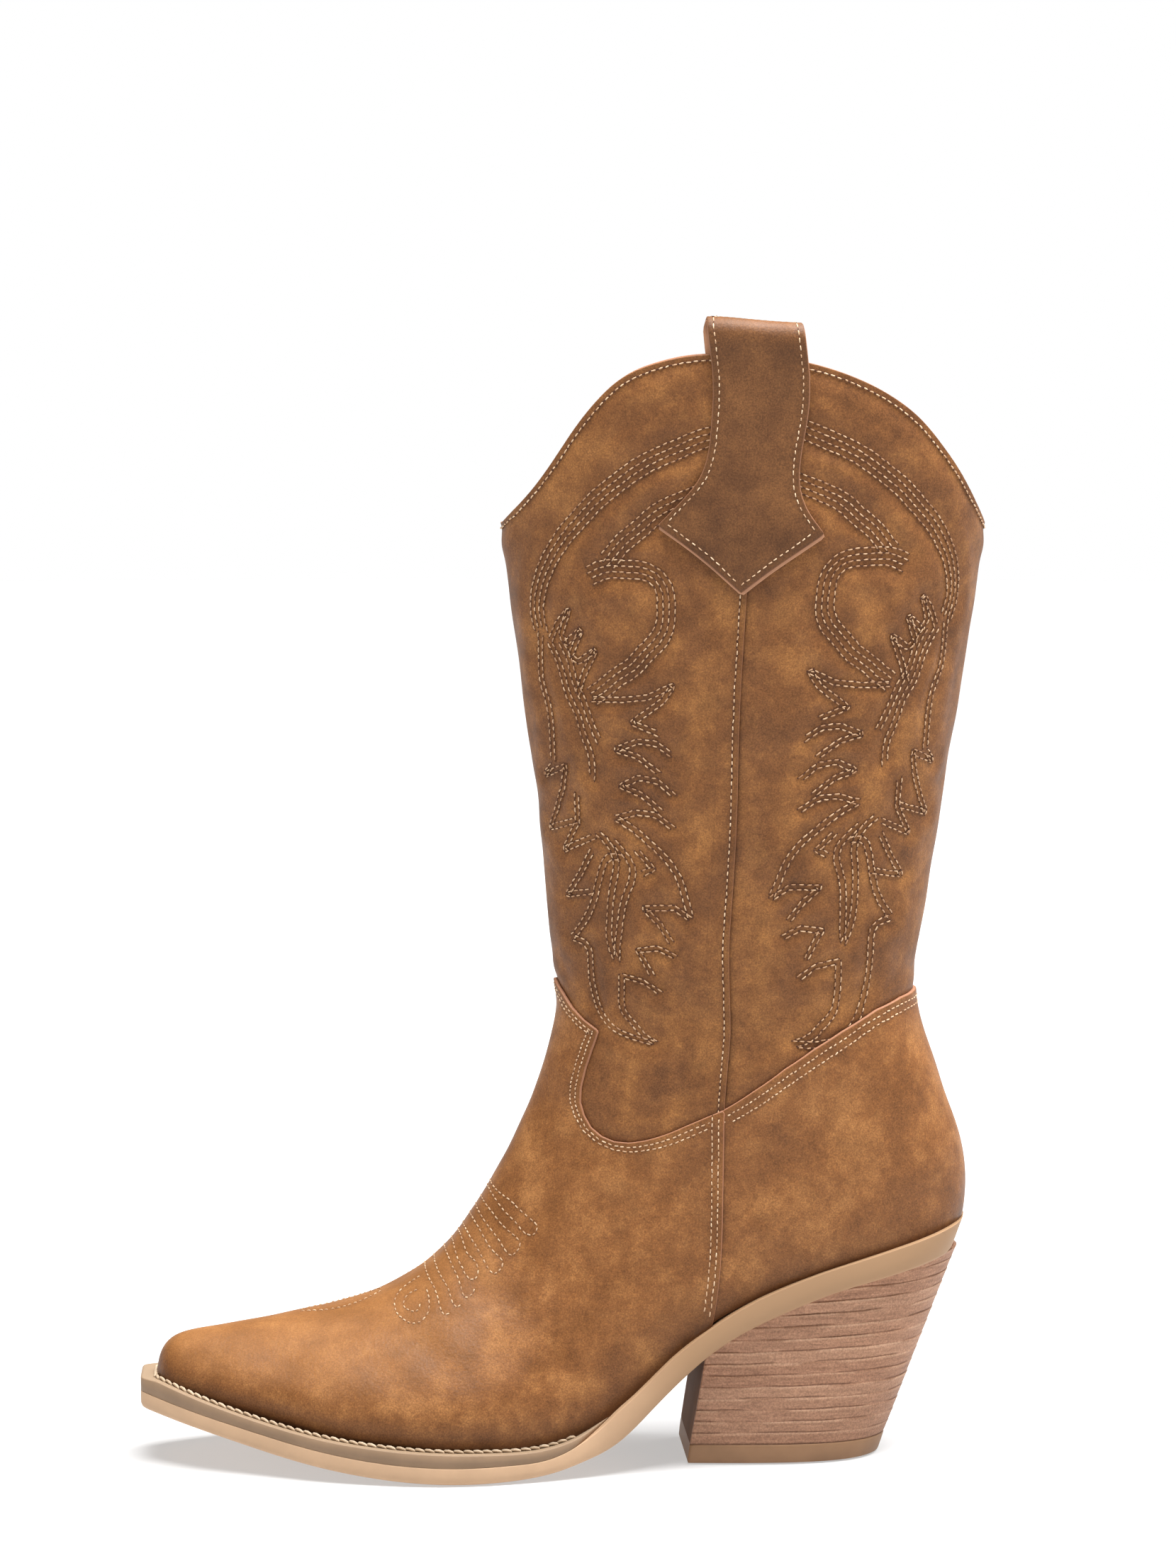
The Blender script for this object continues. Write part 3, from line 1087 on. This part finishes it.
def welt_top(x):
    """Height of the ledge round the forefoot; it levels out in front of the toe."""
    return np.maximum(welt_base(x) + 0.2, np.minimum(feather(x), 27.2 - 0.05 * (x + 132.5)) - 0.12)


WELT_STITCHES_END = 9.0  # x where the visible welt stitches end
WELT_STITCH, WELT_PITCH, WELT_THREAD = 3.1, 3.15, 0.56


def sole():
    """Outsole with a stitch channel, and the stitched welt round the forefoot."""
    top = outsole_top
    low = tread
    rings = [ring_at(14, low), ring_at(7.2, low), ring_at(6.8, lambda x: low(x) + 0.45),
             ring_at(6.2, lambda x: low(x) + 0.45), ring_at(5.8, low), ring_at(2.2, low),
             ring_at(1.2, lambda x: low(x) + 0.06), ring_at(0.45, lambda x: low(x) + 0.45),
             ring_at(0.05, lambda x: low(x) + 1.3), ring_at(0.0, lambda x: 0.5 * (low(x) + top(x))),
             ring_at(0.0, lambda x: top(x) - 0.3), ring_at(0.06, lambda x: top(x) - 0.05),
             ring_at(0.4, top), ring_at(2.4, top), ring_at(13, lambda x: top(x) - 0.1)]
    back_tone = smoothstep(np.concatenate(rings)[:, 0] / 45)
    obj = lathe("sole_outsole", rings, sole_mat, {"cut": back_tone})
    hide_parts("outsole")

    reach = OUTLINE[:, 0] < 21.5
    count = int(reach[:HALF_RING].sum())
    order = np.concatenate([np.arange(count)[::-1], np.arange(2 * HALF_RING)[::-1][:count]])
    x = OUTLINE[order, 0]
    tuck = 4.6 * smoothstep((x - 1) / 15)
    section = [(9.5, 0, 0.0), (0.4, 0, 0.0), (0.06, 0, 0.04), (0.0, 0.5, 0.0), (0.0, 1, -0.3),
               (0.25, 1, -0.02), (0.8, 1, 0.03), (3.0, 1, -0.08), (4.6, 1, -0.35), (9.5, 1, -0.35)]
    rows = []
    for inset, share, lift in section:
        p = OUTLINE[order] + INWARD[order] * np.minimum(inset + tuck, 9.5)[:, None]
        base = welt_base(p[:, 0])
        rows.append(np.column_stack([p, base + share * (welt_top(p[:, 0]) - base) + lift]))
    m = len(section)
    n = len(order)
    faces = []
    for k in range(m):
        a, b = k, (k + 1) % m
        faces += strip(list(range(a * n, a * n + n)), list(range(b * n, b * n + n)), False)
    faces += [tuple(k * n for k in range(m)), tuple(k * n + n - 1 for k in range(m))[::-1]]
    upper_face = np.repeat([0, 0, 0, 0, 0, 0.5, 1, 1, 1, 1], n)
    obj = build("sole_welt", np.concatenate(rows), faces, welt_mat, "boot", True,
                {"cut": upper_face})
    tidy_normals(obj)
    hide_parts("welt")

    path = OUTLINE[order] + INWARD[order] * 4.5
    seen = x < WELT_STITCHES_END
    line = np.column_stack([path, welt_top(path[:, 0]) - 0.15])[seen]
    t = lengths(line)
    at = np.arange(4, t[-1] - 7, WELT_PITCH)
    at = at + rng.uniform(-0.12, 0.12, len(at))
    a = np.stack([np.interp(at, t, line[:, i]) for i in range(3)], 1)
    b = np.stack([np.interp(at + WELT_STITCH, t, line[:, i]) for i in range(3)], 1)
    skew = np.stack([np.interp(at + WELT_STITCH, t, INWARD[order][seen, i]) for i in (0, 1)], 1)
    b[:, :2] += 0.8 * skew
    b[:, 2] += 0.3
    n3 = np.tile([0.0, 0.0, 1.0], (len(a), 1))
    v, quads, caps = capsule_parts(a + n3 * 0.15, b + n3 * 0.15, n3, WELT_THREAD)
    faces = []
    for i in range(len(v)):
        start = i * v.shape[1]
        faces += (quads + start).tolist() + [[q + start for q in f] for f in caps]
    tone = np.repeat(rng.uniform(0.5, 1, len(v)), v.shape[1])
    build("sole_welt_stitches", v.reshape(-1, 3), faces, welt_thread_mat, "boot", True,
          {"tone": tone})


def heel_curve(z, inset=0.0, count=240):
    """Open heel outline at level z, from the outer breast edge round the back."""
    curves = []
    for level, breast, back, half, y0 in HEEL_LEVELS:
        long = back - inset - breast
        left = [(breast + u * long, y0 - w * (half - inset)) for u, w in HEEL_SHAPE]
        right = [(a, 2 * y0 - b) for a, b in left]
        p = np.array(left + right[-2::-1])
        fine = Spline(lengths(p), p)(np.linspace(0, lengths(p)[-1], 500))
        t = lengths(fine)
        k = np.linspace(0, t[-1], count)
        curves.append(np.stack([np.interp(k, t, fine[:, i]) for i in (0, 1)], 1))
    levels = [v[0] for v in HEEL_LEVELS]
    z = np.broadcast_to(z, (count,))
    out = np.empty((count, 2))
    for i in range(count):
        for j in (0, 1):
            out[i, j] = np.interp(z[i], levels, [c[i, j] for c in curves])
    return out


def heel():
    """Stacked heel: ragged leather layers round a plain core, and the top lift."""
    count = 320
    long = lengths(heel_curve(LIFT, 0, count))
    layers = int((HEEL_TOP - LIFT) / LAYER)
    offsets = np.array([0.02, 0.18, 0.34, 0.6, 1.0, 1.5, 2.1, 2.8, 3.3, 3.62])
    bases, layer_of, inside_layer = [], [], []
    for layer in range(layers):
        for o in offsets:
            bases.append(LIFT + layer * LAYER + o)
            layer_of.append(layer)
            inside_layer.append(o)
    phases = rng.uniform(0, 6.3, (layers, 6))
    outer, inner, tones, darks = [], [], [], []
    for base, layer, o in zip(bases, layer_of, inside_layer):
        flat = heel_curve(base, 0, count)
        t = long / 9.0
        f = phases[layer]
        tilt = 0.055 * smoothstep((base - LIFT - 4) / 50) * (flat[:, 0] - 50)
        wobble = 0.11 * np.sin(t * 0.9 + f[0]) + 0.09 * np.sin(t * 3.3 + f[1])
        z = np.minimum(base + tilt + wobble * min(1.0, (base - LIFT) / 1.0), tread(flat[:, 0]) + 1.4)
        gate = smoothstep(0.5 + 0.9 * (np.sin(t * 1.35 + f[2]) + 0.7 * np.sin(t * 3.1 + f[3])) + 0.25)
        if layer == 0:
            gate = np.maximum(gate, 0.75)
        groove = math.exp(-((o - 0.18) / 0.15) ** 2)
        second = math.exp(-((o - 2.1) / 0.25) ** 2) * smoothstep(
            np.sin(t * 1.7 + f[4]) + 0.6 * np.sin(t * 4.1 + f[5]) - 0.5)
        step = 0.05 * math.sin(f[0] * 3) + 0.09 * (o / LAYER)
        depth = 0.26 * groove * gate + 0.08 * second - step - 0.09 * math.exp(-((o - 3.5) / 0.3) ** 2)
        curve = heel_curve(z, 0, count)
        d = np.gradient(curve, axis=0)
        inward = unit(np.stack([-d[:, 1], d[:, 0]], 1))
        outer.append(np.column_stack([curve + inward * (depth + 0.15)[:, None], z]))
        inner.append(np.column_stack([heel_curve(z, WRAP, count), z]))
        darks.append(0.62 * groove * gate + 0.12 * second + 0.28 * (1 - smoothstep(z / 42)))
        tones.append(np.full(count, 0.7 * math.exp(-((o - 3.5) / 0.22) ** 2)) * gate
                     + 0.2 * math.sin(f[5] * 5))
    rows = len(bases)
    top_row = np.zeros(count, int)
    z_all = np.stack([o[:, 2] for o in outer])
    cover = z_all >= tread(np.stack([o[:, 0] for o in outer])) + 1.2
    top_row = np.where(cover.any(0), cover.argmax(0), rows - 1)
    index = lambda r, k: int(min(r, top_row[k])) * count + k
    faces = []
    for r in range(rows - 1):
        for k in range(count - 1):
            loop = [index(r, k), index(r, k + 1), index(r + 1, k + 1), index(r + 1, k)]
            loop = [v for i, v in enumerate(loop) if v != loop[i - 1]]
            if len(loop) > 2:
                faces.append(loop)
    size = rows * count
    faces += [[v + size for v in f[::-1]] for f in faces]
    for k in range(count - 1):
        a, b = index(rows, k), index(rows, k + 1)
        faces += [[a, b, b + size, a + size], [k + 1, k, k + size, k + 1 + size]]
    for k in (0, count - 1):
        for r in range(top_row[k]):
            a, b = r * count + k, (r + 1) * count + k
            faces.append([a, b, b + size, a + size] if k == 0 else [b, a, a + size, b + size])
    obj = build("heel_stack", np.concatenate(outer + inner), faces, stack_mat, "boot", True,
                {"line": np.concatenate([np.concatenate(tones), np.zeros(size)]),
                 "dark": np.concatenate([np.concatenate(darks), np.zeros(size)])})
    tidy_mesh(obj)
    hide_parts("heel_stack_wrap")

    rings = []
    for inset, z in ((8.0, 0), (1.2, 0), (0.4, 0.03), (0.1, 0.2), (0.0, 0.6), (-0.05, 3.0),
                     (0.0, 5.4), (0.1, 6.0), (0.3, 6.2), (1.2, 6.25), (8.0, 6.25)):
        curve = heel_curve(z, inset, 160)
        curve[:, 0] += np.interp(curve[:, 0], [40, 70], [inset, 0])
        front = np.linspace(curve[-1], curve[0], 22)[1:-1]
        loop = np.concatenate([front[10:], curve, front[:10]])
        rings.append(np.column_stack([loop, np.full(len(loop), float(z))]))
    obj = lathe("heel_top_lift", rings, lift_mat, None)
    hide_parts("top_lift")


def tidy_mesh(obj):
    """Drops unused vertices and turns all faces outwards, keeping attributes."""
    mesh = bmesh.new()
    mesh.from_mesh(obj.data)
    loose = [v for v in mesh.verts if not v.link_faces]
    bmesh.ops.delete(mesh, geom=loose, context="VERTS")
    bmesh.ops.recalc_face_normals(mesh, faces=mesh.faces)
    mesh.to_mesh(obj.data)
    mesh.free()


welt_thread_mat, tree, main = shader("welt_thread", 0.6, 0.35)
tone = ramp(tree, attribute(tree, "tone"), [(0.3, (0.38, 0.27, 0.17)), (1.0, (0.56, 0.43, 0.30))])
tree.links.new(tone, main.inputs["Base Color"])
sole()
heel()

# ---------------------------------------------------------------- carried-over solids
stiff_mat = plain("stiffener", (0.55, 0.50, 0.42), 0.8)
board_mat = plain("insole_board", (0.42, 0.30, 0.20), 0.85)
foam_mat = plain("cushion_foam", (0.70, 0.62, 0.50), 0.9)
cork_mat = plain("filler_cork", (0.34, 0.20, 0.11), 0.9, 200, 0.2, 0.3)
textile_mat = plain("lining_textile", (0.62, 0.54, 0.43), 0.9, 900, 0.1)
steel_mat = plain("steel", (0.50, 0.50, 0.51), 0.35, 400, 0.02, 0.05, 0.5)
steel_mat.node_tree.nodes["Principled BSDF"].inputs["Metallic"].default_value = 1.0
KEPT = {
    "shaft_lining_front": lining_mat, "shaft_lining_rear": lining_mat,
    "vamp_lining": textile_mat, "heel_lining": lining_mat, "toe_puff": stiff_mat,
    "vamp_backing": textile_mat, "heel_counter_stiffener": stiff_mat,
    "insole_board": board_mat, "sock_liner": sock_mat, "heel_cushion_pad": foam_mat,
    "steel_shank": steel_mat, "bottom_filler": cork_mat, "heel_block": breast_mat,
    "top_lift_pins": steel_mat, "heel_screw": steel_mat, "heel_nails": steel_mat,
}
for name, material in KEPT.items():
    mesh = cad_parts[name].data
    mesh.materials.clear()
    mesh.materials.append(material)

# ---------------------------------------------------------------- floor, light and camera
floor_mat, tree, main = shader("floor", 1.0, 0.0, (0.4, 0.4, 0.4))
at = tree.nodes.new("ShaderNodeTexCoord")
fade = tree.nodes.new("ShaderNodeTexGradient")
fade.gradient_type = "SPHERICAL"
wide = tree.nodes.new("ShaderNodeMapping")
wide.inputs["Scale"].default_value = (0.55, 0.55, 0.55)
tree.links.new(at.outputs["Object"], wide.inputs["Vector"])
tree.links.new(wide.outputs["Vector"], fade.inputs["Vector"])
glow = ramp(tree, fade.outputs["Fac"], [(0.1, (1, 1, 1)), (0.8, (0.5, 0.5, 0.5))])
tree.links.new(glow, main.inputs["Emission Color"])
main.inputs["Emission Strength"].default_value = 0.9
bpy.ops.mesh.primitive_plane_add(size=12, location=(0, 0, -0.0005))
floor = bpy.context.object
floor.name = "floor"
floor.data.materials.append(floor_mat)

wall_mat, tree, main = shader("backdrop", 1.0, 0.0, (0.0, 0.0, 0.0))
main.inputs["Emission Color"].default_value = (1, 1, 1, 1)
main.inputs["Emission Strength"].default_value = 1.0
bpy.ops.mesh.primitive_cylinder_add(vertices=96, radius=5.9, depth=1.3, end_fill_type="NOTHING",
                                    location=(0, 0, 0.65))
wall = bpy.context.object
wall.name = "backdrop"
wall.data.materials.append(wall_mat)

world = bpy.data.worlds.new("studio")
bpy.context.scene.world = world
world.use_nodes = True
world.node_tree.nodes["Background"].inputs["Color"].default_value = (1, 1, 1, 1)
world.node_tree.nodes["Background"].inputs["Strength"].default_value = 0.15


def softbox(name, place, aim, size, power):
    """Area light at place that looks at aim."""
    data = bpy.data.lights.new(name, "AREA")
    data.shape = "RECTANGLE"
    data.size, data.size_y = size
    data.energy = power
    obj = bpy.data.objects.new(name, data)
    obj.location = place
    obj.rotation_euler = (Vector(aim) - Vector(place)).to_track_quat("-Z", "Y").to_euler()
    bpy.context.collection.objects.link(obj)


softbox("key", (0.2, -0.3, 2.0), (-0.02, 0, 0.1), (1.7, 1.2), 110)
softbox("top", (1.0, 0.2, 1.7), (0, 0, 0.15), (1.2, 1.0), 30)

CAMERA_AIM = Vector((0.00905, 0.004, 0.22145))
CAMERA_TURN, CAMERA_PITCH, CAMERA_FAR = math.radians(-3), math.radians(5.2), 1.6
back = Vector((math.sin(CAMERA_TURN) * math.cos(CAMERA_PITCH),
               -math.cos(CAMERA_TURN) * math.cos(CAMERA_PITCH), math.sin(CAMERA_PITCH)))
lens = bpy.data.cameras.new("camera")
lens.lens = 112.05
lens.sensor_width = 36
lens.clip_end = 20
camera = bpy.data.objects.new("camera", lens)
camera.location = CAMERA_AIM + back * CAMERA_FAR
camera.rotation_mode = "QUATERNION"
camera.rotation_quaternion = (-back).to_track_quat("-Z", "Y")
bpy.context.collection.objects.link(camera)
bpy.context.scene.camera = camera
bpy.context.scene.view_settings.view_transform = "Standard"
